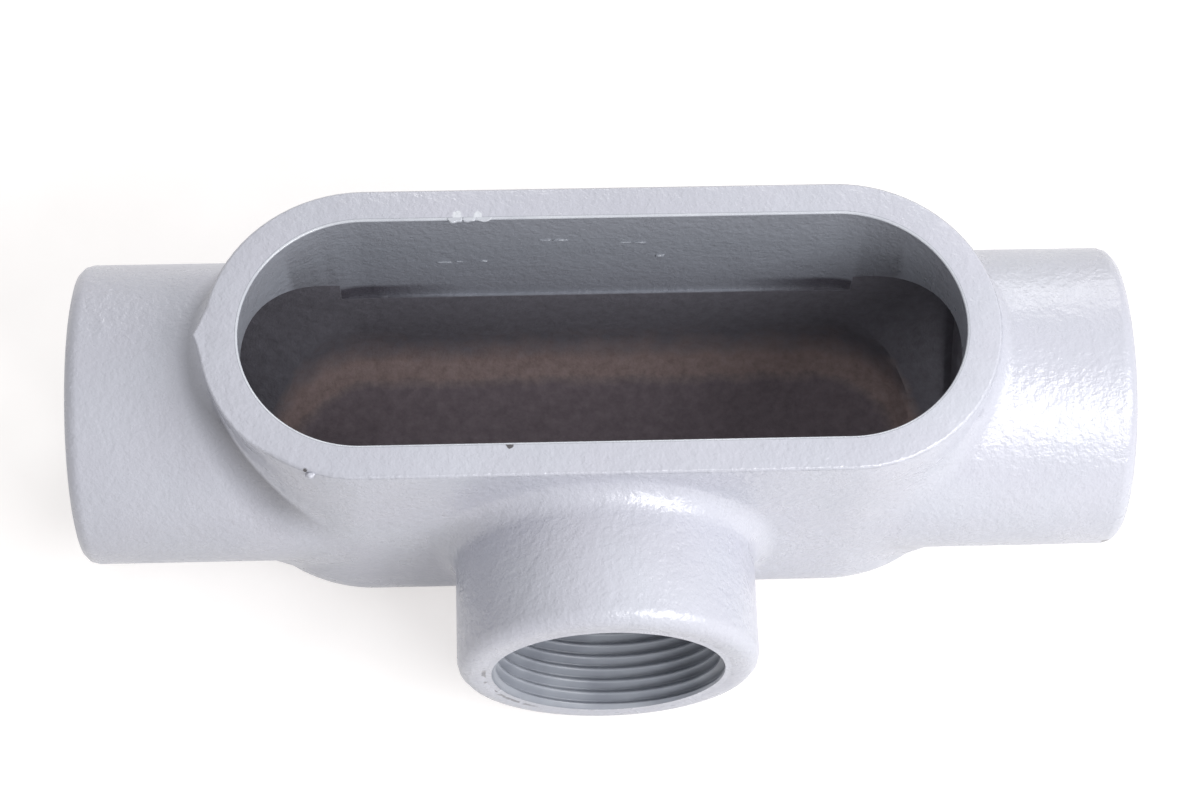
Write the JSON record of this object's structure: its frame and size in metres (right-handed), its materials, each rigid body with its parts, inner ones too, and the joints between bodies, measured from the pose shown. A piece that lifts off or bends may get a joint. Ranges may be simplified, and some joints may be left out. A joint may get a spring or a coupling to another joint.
{
  "type": "conduit body",
  "caption": "Cast tee conduit body with threaded hubs and an oblong cover opening, painted grey; it joins runs of conduit and gives access to pull and splice wires.",
  "frame": {"origin": "centre of the flat back, under the crossing of the run and branch axes", "axes": "+X along the run from hub to hub, -Y out of the branch hub, +Z out of the cover opening"},
  "size_m": [0.184, 0.0781, 0.06],
  "materials": {
    "painted_casting": "semi-gloss grey enamel over a sand casting"
  },
  "bodies": {
    "root": {"conduit_body": "painted_casting"}
  },
  "joints": []
}
